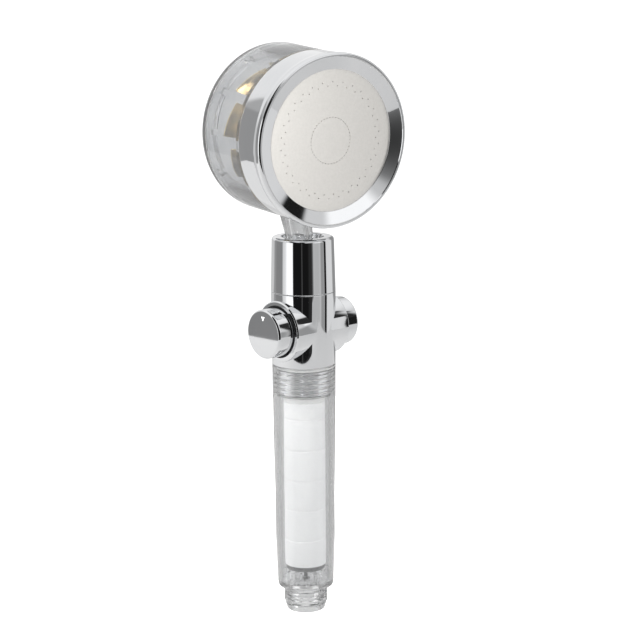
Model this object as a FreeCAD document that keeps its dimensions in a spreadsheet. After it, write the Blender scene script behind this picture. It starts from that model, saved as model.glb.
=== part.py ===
"""Handheld shower head: clear filter handle, push-through stop valve, ball-jointed turbine head.

Millimetres. The origin is the centre of the inlet's end face, +Z runs up the handle, the stop
valve lies along X and the head faces -Y, turned a little towards -X and tipped down.
"""

import FreeCAD
import Part
import os

import Sketcher

SIZES = {
    # Handle: a clear tube with the G1/2 hose thread at its foot.
    "inlet_bore": 6.5,
    "inlet_tip": 9.3,
    "inlet_crest": 10.4775,
    "inlet_root": 9.5,
    "inlet_pitch": 1.814,
    "inlet_lead": 2.8,
    "inlet_lead_radius": 9.98,
    "inlet_thread_low": 3.2,
    "inlet_turns": 4,
    "inlet_top": 9.7,
    "inlet_bore_top": 12.0,
    "foot_top": 12.2,
    "foot_radius": 13.6,
    "grip_low": 36.0,
    "grip_high": 58.0,
    "grip_radius": 14.3,
    "swell_height": 78.0,
    "swell_radius": 14.7,
    "handle_top": 122.3,
    "handle_top_radius": 15.05,
    "chamber_low": 14.6,
    "chamber_radius": 11.6,
    "chamber_top": 107.6,
    "socket_radius": 13.0,
    # Filter cartridge inside the handle.
    "holder_thick": 1.2,
    "holder_radius": 11.5,
    "holder_hole": 1.1,
    "rib_height": 4.8,
    "rib_depth": 1.8,
    "rib_thick": 1.0,
    "rib_count": 10,
    "plug_low": 20.8,
    "plug_high": 23.1,
    "plug_radius": 9.3,
    "stem_radius": 0.92,
    "barb_radius": 1.95,
    "barb_low": 13.5,
    "barb_thick": 0.9,
    "cotton_radius": 10.0,
    "cotton_top": 104.6,
    "core_radius": 4.0,
    "core_bore": 3.0,
    "core_hole": 0.9,
    "core_first": 29.85,
    "core_pitch": 7.5,
    "core_rows": 10,
    "cap_top": 107.6,
    "cap_radius": 10.0,
    "cap_spigot": 9.3,
    "cap_spigot_top": 112.0,
    # Stop valve: a tee with a spool across it.
    "valve_height": 139.6,
    "stub_low": 107.9,
    "stub_radius": 12.2,
    "stub_crest": 12.9,
    "stub_thread_low": 108.5,
    "stub_pitch": 2.3,
    "stub_turns": 4,
    "stub_shoulder": 119.3,
    "stub_bore": 9.5,
    "stub_bore_cone": 119.5,
    "stub_bore_top": 121.0,
    "tee_radius_low": 15.05,
    "tee_radius_high": 15.3,
    "tee_top": 157.1,
    "nut_stub_radius": 12.0,
    "nut_stub_top": 165.0,
    "outlet_radius": 5.5,
    "outlet_cone": 148.5,
    "outlet_low": 150.0,
    "port_radius": 3.0,
    "cross_radius": 14.45,
    "cross_reach": 16.5,
    "cross_chamfer": 0.6,
    "recess_radius": 12.3,
    "recess_floor": 7.5,
    "guide_radius": 9.0,
    "guide_reach": 15.5,
    "spool_bore": 6.5,
    "spool_radius": 6.4,
    "spool_reach": 9.3,
    "spool_shaft": 4.0,
    "waist_radius": 3.0,
    "waist_start": 0.9,
    "waist_end": 7.1,
    "spool_groove": 5.25,
    "spool_ring": 0.55,
    "groove_width": 1.4,
    "seal_inner": 0.2,
    "seal_outer": 8.2,
    "gland_start": 13.4,
    "gland_thick": 2.0,
    "gland_bore": 4.05,
    "button_reach": 25.3,
    "button_radius": 11.6,
    "button_inner": 9.4,
    "button_wall": 2.5,
    "button_skirt": 13.4,
    "button_edge": 0.8,
    "handle_seal_seat": 119.9,
    "handle_seal_height": 120.9,
    "handle_seal_major": 12.25,
    "handle_seal_minor": 0.7,
    # Ball joint in the swivel nut.
    "pivot_height": 173.5,
    "ball_radius": 9.0,
    "seat_gap": 0.05,
    "seal_gap": 0.1,
    "nut_low": 157.2,
    "nut_top": 183.1,
    "nut_radius_low": 15.3,
    "nut_radius_high": 14.6,
    "nut_edge": 1.6,
    "nut_bore": 12.1,
    "nut_bore_top": 177.6,
    "throat_radius": 8.6,
    "mouth_radius": 10.1,
    "ring_low": 173.7,
    "ring_high": 177.5,
    "ring_inner": 7.8,
    "ring_outer": 12.05,
    "seat_low": 165.0,
    "seat_high": 169.4,
    "seat_inner": 5.6,
    "seat_outer": 11.8,
    # Neck between the ball and the shell.
    "neck_lean": 17.0,
    "neck_radius": 6.3,
    "neck_bore": 3.5,
    "neck_foot": 1.0,
    "neck_flare_start": 9.0,
    "neck_flare_end": 26.0,
    "neck_flare_radius": 7.9,
    "washer_thick": 0.8,
    # Head, measured forward (d) from the handle's axis along its own axis.
    "head_height": 231.1,
    "head_turn": 9.08,
    "head_tip": 4.1,
    "shell_radius": 39.8,
    "shell_waist": 39.2,
    "shell_bore": 37.2,
    "shell_rear": 26.0,
    "shell_back": 3.0,
    "shell_edge": 4.0,
    "shell_bore_front": 4.7,
    "shell_front": 8.5,
    "spigot_radius": 36.6,
    "spigot_bore": 34.9,
    "spigot_rear": 7.0,
    "spigot_front": 17.0,
    "boss_radius": 4.0,
    "boss_reach": 14.4,
    "boss_floor": 22.0,
    "bezel_rear_radius": 39.3,
    "bezel_middle_radius": 39.6,
    "bezel_radius": 40.0,
    "bezel_bore": 36.8,
    "bezel_step": 20.0,
    "bezel_seat": 34.5,
    "rim_start": 22.0,
    "rim_rise": 24.6,
    "rim_end": 25.8,
    "rim_corner": 39.5,
    "rim_corner_depth": 26.7,
    "rim_front": 27.0,
    "rim_bead": 39.0,
    "cone_outer": 38.2,
    "cone_inner": 32.3,
    "cone_front": 26.7,
    "cone_rear": 24.9,
    "plate_front": 24.1,
    "plate_thick": 0.6,
    "plate_radius": 34.3,
    "spray_hole": 0.3,
    "spray_inner": 10.6,
    "spray_middle": 24.8,
    "spray_outer": 26.6,
    "spray_inner_count": 42,
    "spray_outer_count": 30,
    "gasket_inner": 31.0,
    "gasket_rear": 22.0,
    "jet_disc_rear": 18.2,
    "jet_disc_hole": 1.2,
    "jet_disc_ring": 24.0,
    "jet_disc_count": 24,
    "jet_disc_boss": 4.0,
    "jet_disc_boss_rear": 6.4,
    "axle_radius": 1.5,
    "axle_rear": 21.8,
    "axle_front": 19.0,
    "impeller_rear": 13.5,
    "impeller_front": 5.5,
    "impeller_hub": 5.5,
    "impeller_radius": 34.0,
    "blade_count": 10,
    "blade_chord": 17.0,
    "blade_thick": 1.2,
    "blade_pitch": 52.0,
    "leaf_inner": 32.6,
    "leaf_rear": 11.5,
    "leaf_front": 5.0,
    "leaf_span": 27.0,
    "impeller_rest": 24.5,
    "bush_bore": 1.55,
    "bush_radius": 2.5,
    "bush_length": 4.0,
    "washer_radius": 3.2,
    "head_washer_thick": 0.6,
    "jet_ring_outer": 37.1,
    "jet_ring_inner": 35.0,
    "jet_ring_rear": 22.6,
    "jet_ring_front": 15.5,
    "jet_slot_width": 3.0,
    "jet_slot_depth": 3.5,
    "jet_slot_count": 12,
}

FULL_TURN = 360.0
QUARTER_TURN = 90.0
# A thread crest's flat, as a share of the pitch.
CREST_SHARE = 0.3
# Lengths below this count as lying on the axis, and shapes closer than the match are the same.
ZERO_LENGTH = 1e-9
MATCH = 0.01

document = FreeCAD.newDocument("shower_head")
nodes = []


class Size:
    """A length that carries its spreadsheet expression along with its value."""

    def __init__(self, value, text):
        self.value = value
        self.text = text

    def joined(self, other, sign):
        other = as_size(other)
        value = self.value + other.value if sign == "+" else self.value - other.value
        return Size(value, f"({self.text} {sign} {other.text})")

    def __add__(self, other):
        return self.joined(other, "+")

    def __sub__(self, other):
        return self.joined(other, "-")

    def __mul__(self, factor):
        return Size(self.value * factor, f"({self.text} * {factor!r})")

    def __neg__(self):
        return Size(-self.value, f"(0 - {self.text})")


def as_size(length):
    return length if isinstance(length, Size) else Size(length, repr(float(length)))


def size(alias):
    return Size(SIZES[alias], "sizes." + alias)


def fill_sheet():
    sheet = document.addObject("Spreadsheet::Sheet", "sizes")
    for row, (alias, value) in enumerate(SIZES.items(), start=1):
        sheet.set(f"A{row}", alias)
        sheet.set(f"B{row}", repr(value))
        sheet.setAlias(f"B{row}", alias)
    document.recompute()


# ---- placements ------------------------------------------------------------------------------


def keep(thing, label):
    """Name a finished sub-part and put it on the list of nodes."""
    thing.Label = label
    nodes.append(thing)
    return thing


def raise_to(thing, alias):
    thing.setExpression("Placement.Base.z", "sizes." + alias)


def in_head(thing, spin=0.0):
    """Place a piece in the head's frame: local Z is the spray direction, local Y is up."""
    turn = FreeCAD.Rotation(-SIZES["head_turn"], 0, QUARTER_TURN + SIZES["head_tip"])
    turn = turn.multiply(FreeCAD.Rotation(FreeCAD.Vector(0, 0, 1), spin))
    thing.Placement = FreeCAD.Placement(FreeCAD.Vector(), turn)
    raise_to(thing, "head_height")
    return thing


def in_neck(thing):
    """Place a piece in the neck's frame: its origin is the ball's centre, local Z runs up the neck."""
    turn = FreeCAD.Rotation(-SIZES["head_turn"], 0, -SIZES["neck_lean"])
    thing.Placement = FreeCAD.Placement(FreeCAD.Vector(), turn)
    raise_to(thing, "pivot_height")
    return thing


def at_valve(thing):
    raise_to(thing, "valve_height")
    return thing


# ---- sketches and features -------------------------------------------------------------------


def new_body(name):
    return document.addObject("PartDesign::Body", name)


def new_sketch(body, role, name):
    plane = next(item for item in body.Origin.OriginFeatures if item.Role == role)
    sketch = body.newObject("Sketcher::SketchObject", name)
    sketch.AttachmentSupport = (plane, [""])
    sketch.MapMode = "FlatFace"
    return sketch


def hold(sketch, direction, line, length, point=1):
    """Fix one coordinate of a sketch point, bound to its expression."""
    length = as_size(length)
    if abs(length.value) < ZERO_LENGTH:
        axis = -2 if direction == "DistanceX" else -1
        sketch.addConstraint(Sketcher.Constraint("PointOnObject", line, point, axis))
        return
    index = sketch.addConstraint(Sketcher.Constraint(direction, -1, 1, line, point, length.value))
    sketch.setExpression(f"Constraints[{index}]", length.text)


def draw_outline(sketch, corners):
    """Draw a closed outline of straight lines whose corners are (across, up) sizes."""
    corners = [(as_size(across), as_size(up)) for across, up in corners]
    spots = [FreeCAD.Vector(across.value, up.value, 0) for across, up in corners]
    count = len(spots)
    for index in range(count):
        sketch.addGeometry(Part.LineSegment(spots[index], spots[(index + 1) % count]))
    for index in range(count):
        sketch.addConstraint(Sketcher.Constraint("Coincident", index, 2, (index + 1) % count, 1))
    for index, (across, up) in enumerate(corners):
        hold(sketch, "DistanceX", index, across)
        hold(sketch, "DistanceY", index, up)


def draw_circle(sketch, across, up, radius):
    across = as_size(across)
    up = as_size(up)
    centre = FreeCAD.Vector(across.value, up.value, 0)
    index = sketch.addGeometry(Part.Circle(centre, FreeCAD.Vector(0, 0, 1), radius.value))
    hold(sketch, "DistanceX", index, across, point=3)
    hold(sketch, "DistanceY", index, up, point=3)
    mark = sketch.addConstraint(Sketcher.Constraint("Radius", index, radius.value))
    sketch.setExpression(f"Constraints[{mark}]", radius.text)


def turn_feature(body, kind, corners, axis):
    sketch = new_sketch(body, "XZ_Plane", body.Name + "_outline")
    draw_outline(sketch, corners)
    feature = body.newObject("PartDesign::" + kind, body.Name + "_" + kind.lower())
    feature.Profile = sketch
    feature.ReferenceAxis = (sketch, [axis])
    feature.Angle = FULL_TURN
    body.Tip = feature
    document.recompute()
    return feature


def turn_on(body, corners, axis="V_Axis"):
    return turn_feature(body, "Revolution", corners, axis)


def turn_off(body, corners, axis="V_Axis"):
    """Cut a turned groove, and make sure that it removed material."""
    before = body.Shape.Volume
    feature = turn_feature(body, "Groove", corners, axis)
    if body.Shape.Volume >= before:
        raise RuntimeError(f"a groove in {body.Name} cuts nothing")
    return feature


def turned(name, corners, axis="V_Axis"):
    body = new_body(name)
    turn_on(body, corners, axis)
    return body


def ring_corners(inner, outer, low, high):
    return [(inner, low), (outer, low), (outer, high), (inner, high)]


def pierce(body, role, circles):
    """Cut round holes through the body, square to one of its origin planes."""
    sketch = new_sketch(body, role, body.Name + "_holes")
    for across, up, radius in circles:
        draw_circle(sketch, across, up, radius)
    pocket = body.newObject("PartDesign::Pocket", body.Name + "_pocket")
    pocket.Profile = sketch
    pocket.Type = "ThroughAll"
    pocket.Midplane = True
    before = body.Shape.Volume
    body.Tip = pocket
    document.recompute()
    if body.Shape.Volume >= before:
        raise RuntimeError(f"the holes in {body.Name} cut nothing")
    return pocket


def repeat_round(body, features, count_alias):
    axis = next(item for item in body.Origin.OriginFeatures if item.Role == "Z_Axis")
    pattern = body.newObject("PartDesign::PolarPattern", body.Name + "_pattern")
    pattern.Originals = features
    pattern.Axis = (axis, [""])
    pattern.Angle = FULL_TURN
    pattern.setExpression("Occurrences", "sizes." + count_alias)
    body.Tip = pattern
    document.recompute()
    return pattern


def soften(body, kind, alias, height, radius):
    """Fillet or chamfer the round edge of that height and radius on a turned body."""
    wanted = []
    for index, edge in enumerate(body.Tip.Shape.Edges, start=1):
        curve = edge.Curve
        if not isinstance(curve, Part.Circle):
            continue
        if abs(curve.Radius - radius) < MATCH and abs(curve.Center.z - height) < MATCH:
            wanted.append(f"Edge{index}")
    if not wanted:
        raise RuntimeError(f"{body.Name} has no edge of radius {radius} at {height}")
    feature = body.newObject("PartDesign::" + kind, body.Name + "_" + kind.lower())
    feature.Base = (feature_before(body, feature), wanted)
    bound = "Radius" if kind == "Fillet" else "Size"
    feature.setExpression(bound, "sizes." + alias)
    body.Tip = feature
    document.recompute()
    return feature


def feature_before(body, feature):
    place = body.Group.index(feature)
    solids = [item for item in body.Group[:place] if item.isDerivedFrom("PartDesign::Feature")]
    return solids[-1]


def primitive(kind, name, **bound):
    thing = document.addObject("Part::" + kind, name)
    for prop, length in bound.items():
        thing.setExpression(prop, as_size(length).text)
    return thing


def cut_away(base, tool, label):
    cut = document.addObject("Part::Cut", label)
    cut.Base = base
    cut.Tool = tool
    return keep(cut, label)


# ---- handle and filter -----------------------------------------------------------------------


def thread_corners(thread, root, low):
    """Ridges up an outline: one trapezoid per turn, its flat crest a share of the pitch wide."""
    crest = size(thread + "_crest")
    pitch = size(thread + "_pitch")
    ramp = 0.5 - CREST_SHARE
    corners = []
    for turn in range(SIZES[thread + "_turns"]):
        foot = low + pitch * turn
        corners.append((crest, foot))
        corners.append((crest, foot + pitch * CREST_SHARE))
        corners.append((root, foot + pitch * (CREST_SHARE + ramp)))
        corners.append((root, foot + pitch * (CREST_SHARE * 2 + ramp)))
    return corners


def make_handle():
    outer = [(size("inlet_tip"), 0), (size("inlet_lead_radius"), size("inlet_lead"))]
    outer += thread_corners("inlet", size("inlet_root"), size("inlet_thread_low"))
    outer += [
        (size("inlet_root"), size("inlet_top")),
        (size("foot_radius"), size("foot_top")),
        (size("grip_radius"), size("grip_low")),
        (size("grip_radius"), size("grip_high")),
        (size("swell_radius"), size("swell_height")),
        (size("handle_top_radius"), size("handle_top")),
    ]
    inner = [
        (size("socket_radius"), size("handle_top")),
        (size("socket_radius"), size("chamber_top")),
        (size("chamber_radius"), size("chamber_top")),
        (size("chamber_radius"), size("chamber_low")),
        (size("inlet_bore"), size("inlet_bore_top")),
        (size("inlet_bore"), 0),
    ]
    keep(turned("handle", outer + inner), "handle")
    seal = primitive(
        "Torus", "handle_seal", Radius1=size("handle_seal_major"), Radius2=size("handle_seal_minor")
    )
    raise_to(seal, "handle_seal_height")
    keep(seal, "handle_seal")


def make_filter_holder():
    """The clear spider that carries the cartridge: a drilled plate with a crown of ribs."""
    low = size("chamber_low")
    body = turned(
        "filter_holder",
        ring_corners(size("holder_hole"), size("holder_radius"), low, low + size("holder_thick")),
    )
    drain = pierce(body, "XY_Plane", [(size("inlet_bore"), 0, size("barb_radius"))])
    repeat_round(body, [drain], "rib_count")
    sketch = new_sketch(body, "XZ_Plane", "filter_holder_rib")
    foot = low + size("holder_thick")
    draw_outline(
        sketch,
        ring_corners(
            size("holder_radius") - size("rib_depth"),
            size("holder_radius"),
            foot - size("holder_thick") * 0.5,
            foot + size("rib_height"),
        ),
    )
    rib = body.newObject("PartDesign::Pad", "filter_holder_pad")
    rib.Profile = sketch
    rib.setExpression("Length", "sizes.rib_thick")
    rib.Midplane = True
    body.Tip = rib
    document.recompute()
    repeat_round(body, [rib], "rib_count")
    keep(body, "filter_holder")


def make_filter():
    stem = size("stem_radius")
    barb_top = size("barb_low") + size("barb_thick")
    plug = [
        (0, size("barb_low")),
        (size("barb_radius"), size("barb_low")),
        (size("barb_radius"), barb_top),
        (stem, barb_top),
        (stem, size("plug_low")),
        (size("plug_radius"), size("plug_low")),
        (size("plug_radius"), size("plug_high")),
        (0, size("plug_high")),
    ]
    keep(turned("filter_plug", plug), "filter_plug")

    cotton = ring_corners(
        size("core_radius"), size("cotton_radius"), size("plug_high"), size("cotton_top")
    )
    keep(turned("filter_cotton", cotton), "filter_cotton")

    core = turned(
        "filter_core",
        ring_corners(
            size("core_bore"), size("core_radius"), size("plug_high"), size("cotton_top")
        ),
    )
    rows = [size("core_first") + size("core_pitch") * row for row in range(SIZES["core_rows"])]
    pierce(core, "XZ_Plane", [(0, row, size("core_hole")) for row in rows])
    pierce(core, "YZ_Plane", [(0, row, size("core_hole")) for row in rows])
    keep(core, "filter_core")

    cap = [
        (size("core_bore"), size("cotton_top")),
        (size("cap_radius"), size("cotton_top")),
        (size("cap_radius"), size("cap_top")),
        (size("cap_spigot"), size("cap_top")),
        (size("cap_spigot"), size("cap_spigot_top")),
        (size("core_bore"), size("cap_spigot_top")),
    ]
    keep(turned("filter_top_cap", cap), "filter_top_cap")


# ---- stop valve ------------------------------------------------------------------------------


def make_valve_body():
    """The tee. Its own frame is centred on the spool's axis."""
    centre = size("valve_height")

    def up(alias):
        return size(alias) - centre

    seal_floor = size("handle_seal_major") - size("handle_seal_minor")
    outer = [(0, up("stub_low")), (size("stub_radius"), up("stub_low"))]
    outer += thread_corners("stub", size("stub_radius"), up("stub_thread_low"))
    outer += [
        (size("stub_crest"), up("stub_shoulder")),
        (size("stub_crest"), up("handle_seal_seat")),
        (seal_floor, up("handle_seal_seat")),
        (seal_floor, up("handle_top")),
        (size("tee_radius_low"), up("handle_top")),
        (size("tee_radius_high"), up("tee_top")),
        (size("nut_stub_radius"), up("tee_top")),
        (size("nut_stub_radius"), up("nut_stub_top")),
        (0, up("nut_stub_top")),
    ]
    body = turned("valve_body", outer)
    reach = size("cross_reach")
    chamfer = size("cross_chamfer")
    cross = [
        (-reach, 0),
        (-reach, size("cross_radius") - chamfer),
        (-reach + chamfer, size("cross_radius")),
        (reach - chamfer, size("cross_radius")),
        (reach, size("cross_radius") - chamfer),
        (reach, 0),
    ]
    turn_on(body, cross, "H_Axis")
    waterway = [
        (0, up("stub_low")),
        (size("stub_bore"), up("stub_low")),
        (size("stub_bore"), up("stub_bore_cone")),
        (size("port_radius"), up("stub_bore_top")),
        (size("port_radius"), up("outlet_cone")),
        (size("outlet_radius"), up("outlet_low")),
        (size("outlet_radius"), up("nut_stub_top")),
        (0, up("nut_stub_top")),
    ]
    turn_off(body, waterway)
    bore = [(-reach, 0), (-reach, size("spool_bore")), (reach, size("spool_bore")), (reach, 0)]
    turn_off(body, bore, "H_Axis")
    for side in (-1, 1):
        recess = [
            (reach * side, 0),
            (reach * side, size("recess_radius")),
            (size("recess_floor") * side, size("recess_radius")),
            (size("recess_floor") * side, size("guide_radius")),
            (size("guide_reach") * side, size("guide_radius")),
            (size("guide_reach") * side, 0),
        ]
        turn_off(body, recess, "H_Axis")
    keep(at_valve(body), "valve_body")


def make_button(name, side):
    face = size("button_reach")
    outline = [
        (face * side, 0),
        (face * side, size("button_radius") - size("button_edge")),
        ((face - size("button_edge")) * side, size("button_radius")),
        ((face - size("button_skirt")) * side, size("button_radius")),
        ((face - size("button_skirt")) * side, size("button_inner")),
        ((face - size("button_wall")) * side, size("button_inner")),
        ((face - size("button_wall")) * side, 0),
    ]
    keep(at_valve(turned(name, outline, "H_Axis")), name)


def make_gland(name, side):
    near = size("gland_start") * side
    far = (size("gland_start") + size("gland_thick")) * side
    outline = [
        (near, size("gland_bore")),
        (near, size("spool_bore")),
        (far, size("spool_bore")),
        (far, size("gland_bore")),
    ]
    keep(at_valve(turned(name, outline, "H_Axis")), name)


def make_spool():
    shaft_end = size("button_reach") - size("button_wall")
    land = size("spool_radius")
    half_groove = size("groove_width") * 0.5
    seal_places = [-size("seal_outer"), -size("seal_inner"), size("seal_outer")]

    def groove(centre):
        return [
            (centre - half_groove, land),
            (centre - half_groove, size("spool_groove")),
            (centre + half_groove, size("spool_groove")),
            (centre + half_groove, land),
        ]

    outline = [
        (-shaft_end, 0),
        (-shaft_end, size("spool_shaft")),
        (-size("spool_reach"), size("spool_shaft")),
        (-size("spool_reach"), land),
    ]
    outline += groove(seal_places[0])
    outline += groove(seal_places[1])
    outline += [
        (size("waist_start"), land),
        (size("waist_start"), size("waist_radius")),
        (size("waist_end"), size("waist_radius")),
        (size("waist_end"), land),
    ]
    outline += groove(seal_places[2])
    outline += [
        (size("spool_reach"), land),
        (size("spool_reach"), size("spool_shaft")),
        (shaft_end, size("spool_shaft")),
        (shaft_end, 0),
    ]
    keep(at_valve(turned("spool", outline, "H_Axis")), "spool")

    rings = []
    for place in seal_places:
        ring = primitive(
            "Torus",
            "spool_ring",
            Radius1=size("spool_groove") + size("spool_ring"),
            Radius2=size("spool_ring"),
        )
        ring.Placement.Rotation = FreeCAD.Rotation(FreeCAD.Vector(0, 1, 0), QUARTER_TURN)
        ring.setExpression("Placement.Base.x", place.text)
        raise_to(ring, "valve_height")
        rings.append(ring)
    group = document.addObject("Part::Compound", "spool_seals")
    group.Links = rings
    keep(group, "spool_seals")


# ---- ball joint ------------------------------------------------------------------------------


def make_swivel_nut():
    outline = [
        (size("nut_bore"), size("nut_low")),
        (size("nut_radius_low"), size("nut_low")),
        (size("nut_radius_high"), size("nut_top")),
        (size("mouth_radius"), size("nut_top")),
        (size("throat_radius"), size("nut_bore_top")),
        (size("nut_bore"), size("nut_bore_top")),
    ]
    body = turned("swivel_nut", outline)
    soften(body, "Fillet", "nut_edge", SIZES["nut_top"], SIZES["nut_radius_high"])
    keep(body, "swivel_nut")


def make_seats():
    """The turning ring above the ball and the rubber seat below it, both hollowed by its sphere."""
    ring = turned(
        "ring_blank",
        ring_corners(size("ring_inner"), size("ring_outer"), size("ring_low"), size("ring_high")),
    )
    hollow = primitive("Sphere", "ring_hollow", Radius=size("ball_radius") + size("seat_gap"))
    raise_to(hollow, "pivot_height")
    cut_away(ring, hollow, "swivel_ring")
    seat = turned(
        "seat_blank",
        ring_corners(size("seat_inner"), size("seat_outer"), size("seat_low"), size("seat_high")),
    )
    dish = primitive("Sphere", "seat_hollow", Radius=size("ball_radius") + size("seal_gap"))
    raise_to(dish, "pivot_height")
    cut_away(seat, dish, "ball_seal")


def make_neck():
    ball = in_neck(primitive("Sphere", "ball_blank", Radius=size("ball_radius")))
    socket_foot = size("neck_foot") - size("washer_thick")
    passage = in_neck(
        turned(
            "ball_passage",
            [
                (0, -size("ball_radius")),
                (size("neck_bore"), -size("ball_radius")),
                (size("neck_bore"), socket_foot),
                (size("neck_radius"), socket_foot),
                (size("neck_radius"), size("ball_radius")),
                (0, size("ball_radius")),
            ],
        )
    )
    cut_away(ball, passage, "neck_ball")

    washer = turned(
        "neck_seal",
        ring_corners(size("neck_bore"), size("neck_radius"), socket_foot, size("neck_foot")),
    )
    keep(in_neck(washer), "neck_seal")

    tube = turned(
        "neck_blank",
        [
            (size("neck_bore"), size("neck_foot")),
            (size("neck_radius"), size("neck_foot")),
            (size("neck_radius"), size("neck_flare_start")),
            (size("neck_flare_radius"), size("neck_flare_end")),
            (size("neck_bore"), size("neck_flare_end")),
        ],
    )
    in_neck(tube)
    chamber = in_head(turned("chamber_core", ring_corners(
        0, size("shell_bore"), -size("shell_rear"), size("shell_front")
    )))
    cut_away(tube, chamber, "neck")


# ---- head ------------------------------------------------------------------------------------


def make_rear_shell():
    """The clear can behind the bezel, with the axle's boss inside and the neck's hole below."""
    floor = -size("shell_rear") + size("shell_back")
    outline = [
        (0, -size("shell_rear")),
        (size("shell_radius"), -size("shell_rear")),
        (size("shell_waist"), size("shell_front")),
        (size("spigot_radius"), size("shell_front")),
        (size("spigot_radius"), size("spigot_front")),
        (size("spigot_bore"), size("spigot_front")),
        (size("spigot_bore"), size("spigot_rear")),
        (size("shell_bore"), size("shell_bore_front")),
        (size("shell_bore"), floor),
        (size("boss_radius"), floor),
        (size("boss_radius"), -size("boss_reach")),
        (size("axle_radius"), -size("boss_reach")),
        (size("axle_radius"), -size("boss_floor")),
        (0, -size("boss_floor")),
    ]
    body = turned("shell_blank", outline)
    soften(body, "Fillet", "shell_edge", -SIZES["shell_rear"], SIZES["shell_radius"])
    in_head(body)
    plug = in_neck(
        turned(
            "neck_socket",
            [
                (0, size("neck_flare_start")),
                (size("neck_radius"), size("neck_flare_start")),
                (size("neck_flare_radius"), size("neck_flare_end")),
                (0, size("neck_flare_end")),
            ],
        )
    )
    cut_away(body, plug, "rear_shell")


def make_bezel():
    outline = [
        (size("bezel_bore"), size("shell_front")),
        (size("bezel_rear_radius"), size("shell_front")),
        (size("bezel_middle_radius"), size("rim_start")),
        (size("bezel_radius"), size("rim_rise")),
        (size("bezel_radius"), size("rim_end")),
        (size("rim_corner"), size("rim_corner_depth")),
        (size("rim_bead"), size("rim_front")),
        (size("cone_outer"), size("cone_front")),
        (size("cone_inner"), size("cone_rear")),
        (size("cone_inner"), size("plate_front")),
        (size("bezel_seat"), size("plate_front")),
        (size("bezel_seat"), size("bezel_step")),
        (size("bezel_bore"), size("bezel_step")),
    ]
    keep(in_head(turned("bezel", outline)), "bezel")


def make_spray_plate():
    back = size("plate_front") - size("plate_thick")
    body = turned("spray_plate", [
        (0, back), (size("plate_radius"), back),
        (size("plate_radius"), size("plate_front")), (0, size("plate_front")),
    ])
    stagger = FULL_TURN / SIZES["spray_outer_count"] / 2
    for radius, count, angle in (
        ("spray_inner", "spray_inner_count", 0),
        ("spray_middle", "spray_outer_count", 0),
        ("spray_outer", "spray_outer_count", stagger),
    ):
        way = FreeCAD.Rotation(FreeCAD.Vector(0, 0, 1), angle).multVec(FreeCAD.Vector(1, 0, 0))
        spot = (size(radius) * way.x, size(radius) * way.y, size("spray_hole"))
        hole = pierce(body, "XY_Plane", [spot])
        repeat_round(body, [hole], count)
    keep(in_head(body), "spray_plate")
    gasket = turned(
        "plate_gasket",
        ring_corners(size("gasket_inner"), size("plate_radius"), size("gasket_rear"), back),
    )
    keep(in_head(gasket), "plate_gasket")


def make_jet_disc():
    """The drilled disc that closes the turbine chamber and carries the front of the axle."""
    outline = [
        (size("axle_radius"), size("jet_disc_boss_rear")),
        (size("jet_disc_boss"), size("jet_disc_boss_rear")),
        (size("jet_disc_boss"), size("jet_disc_rear")),
        (size("spigot_radius"), size("jet_disc_rear")),
        (size("spigot_radius"), size("bezel_step")),
        (size("plate_radius"), size("bezel_step")),
        (size("plate_radius"), size("gasket_rear")),
        (size("gasket_inner"), size("gasket_rear")),
        (size("gasket_inner"), size("bezel_step")),
        (size("axle_radius"), size("bezel_step")),
    ]
    body = turned("jet_disc", outline)
    for share in (0.5, 1.0):
        hole = pierce(body, "XY_Plane", [(size("jet_disc_ring") * share, 0, size("jet_disc_hole"))])
        repeat_round(body, [hole], "jet_disc_count")
    keep(in_head(body), "jet_disc")
    seal = turned(
        "shell_seal",
        ring_corners(
            size("spigot_bore"), size("spigot_radius"), size("spigot_front"), size("jet_disc_rear")
        ),
    )
    keep(in_head(seal), "shell_seal")


def make_axle():
    axle = turned("impeller_axle", [
        (0, -size("axle_rear")), (size("axle_radius"), -size("axle_rear")),
        (size("axle_radius"), size("axle_front")), (0, size("axle_front")),
    ])
    keep(in_head(axle), "impeller_axle")
    washers = []
    for start in (-size("boss_reach"), size("jet_disc_boss_rear") - size("head_washer_thick")):
        ring = turned("washer", ring_corners(
            size("bush_bore"), size("washer_radius"), start, start + size("head_washer_thick")
        ))
        washers.append(in_head(ring))
    group = document.addObject("Part::Compound", "thrust_washers")
    group.Links = washers
    keep(group, "thrust_washers")


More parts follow.
